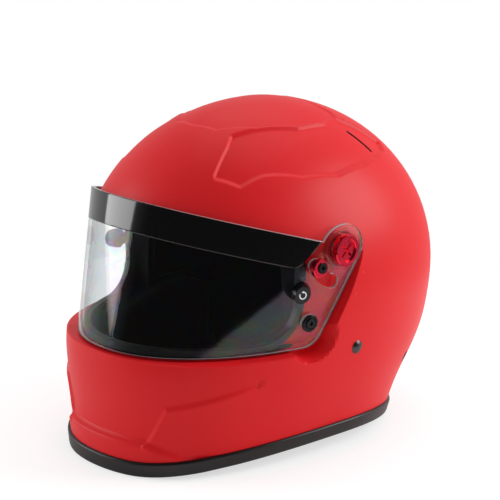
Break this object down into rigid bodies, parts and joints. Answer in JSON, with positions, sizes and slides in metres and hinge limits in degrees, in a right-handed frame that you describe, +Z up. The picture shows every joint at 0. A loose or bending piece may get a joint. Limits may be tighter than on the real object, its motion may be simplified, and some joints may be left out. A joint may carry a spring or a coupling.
{
  "type": "auto racing helmet",
  "caption": "Full-face car racing helmet with a wide eye port, a clear hinged visor on side pivots, a padded lining and a two-ring chin strap.",
  "frame": {"origin": "middle of the helmet's box in plan, on the surface that it stands on", "axes": "+Z up, the face looks along -Y, the wearer's left is +X"},
  "size_m": [0.2454, 0.3282, 0.268],
  "materials": {
    "shell": "satin red lacquer on a fibre laminate",
    "edge_rubber": "satin black",
    "visor_sheet": "clear hard-coated sheet",
    "band": "gloss black film",
    "foam": "dark grey beaded foam",
    "lining": "black brushed knit over foam",
    "webbing": "black woven webbing",
    "snap": "black",
    "ring_steel": "bright",
    "boss": "black",
    "anodised": "satin red anodised",
    "fastener": "zinc plated",
    "black_screw": "black oxide",
    "latch": "black anodised",
    "post": "black anodised",
    "knob": "satin black",
    "rivet": "gunmetal",
    "insert": "dark anodised"
  },
  "bodies": {
    "helmet": {"outer_shell": "shell", "neck_trim": "edge_rubber", "eyeport_gasket": "edge_rubber", "crown_impact_liner": "foam", "chin_impact_liner": "foam", "comfort_liner": "lining", "neck_roll": "lining", "chin_strap_left": "webbing", "chin_strap_right": "webbing", "strap_snap": "snap", "pivot_boss_left": "boss", "pivot_boss_right": "boss", "pivot_ring_left": "anodised", "pivot_ring_right": "anodised", "pivot_screw_left": "anodised", "pivot_screw_right": "anodised", "pivot_nut_left": "fastener", "pivot_nut_right": "fastener", "detent_cam_left": "anodised", "detent_cam_right": "anodised", "detent_screw_left": "black_screw", "detent_screw_right": "black_screw", "latch_post_left": "latch", "latch_post_right": "latch", "strap_rivet_left": "rivet", "strap_rivet_right": "rivet", "strap_washer_left": "fastener", "strap_washer_right": "fastener", "anchor_insert_left": "insert", "anchor_insert_right": "insert", "cheek_pad_left": "lining", "cheek_pad_right": "lining"},
    "visor_assembly": {"visor": "visor_sheet", "visor_band": "band", "tear_off_post_left": "post", "tear_off_post_right": "post"},
    "knob_left": {"tear_off_knob_left": "knob"},
    "knob_right": {"tear_off_knob_right": "knob"},
    "d_rings": {"d_ring_outer": "ring_steel", "d_ring_inner": "ring_steel"}
  },
  "joints": [
    {"name": "visor_hinge", "type": "hinge", "parent": "helmet", "child": "visor_assembly", "pos_m": [0, -0.013, 0.169], "axis": [-1, 0, 0], "range_deg": [0, 50]},
    {"name": "tear_off_turn_left", "type": "hinge", "parent": "visor_assembly", "child": "knob_left", "pos_m": [0.10837, -0.04932, 0.141], "axis": [0.9612, -0.2695, -0.0589], "range_deg": [0, 180]},
    {"name": "tear_off_turn_right", "type": "hinge", "parent": "visor_assembly", "child": "knob_right", "pos_m": [-0.10837, -0.04932, 0.141], "axis": [-0.9612, -0.2695, -0.0589], "range_deg": [-180, 0]},
    {"name": "d_ring_swing", "type": "hinge", "parent": "helmet", "child": "d_rings", "pos_m": [0.0585, 0.003, 0.031], "axis": [0, 1, 0], "range_deg": [0, 95]}
  ]
}
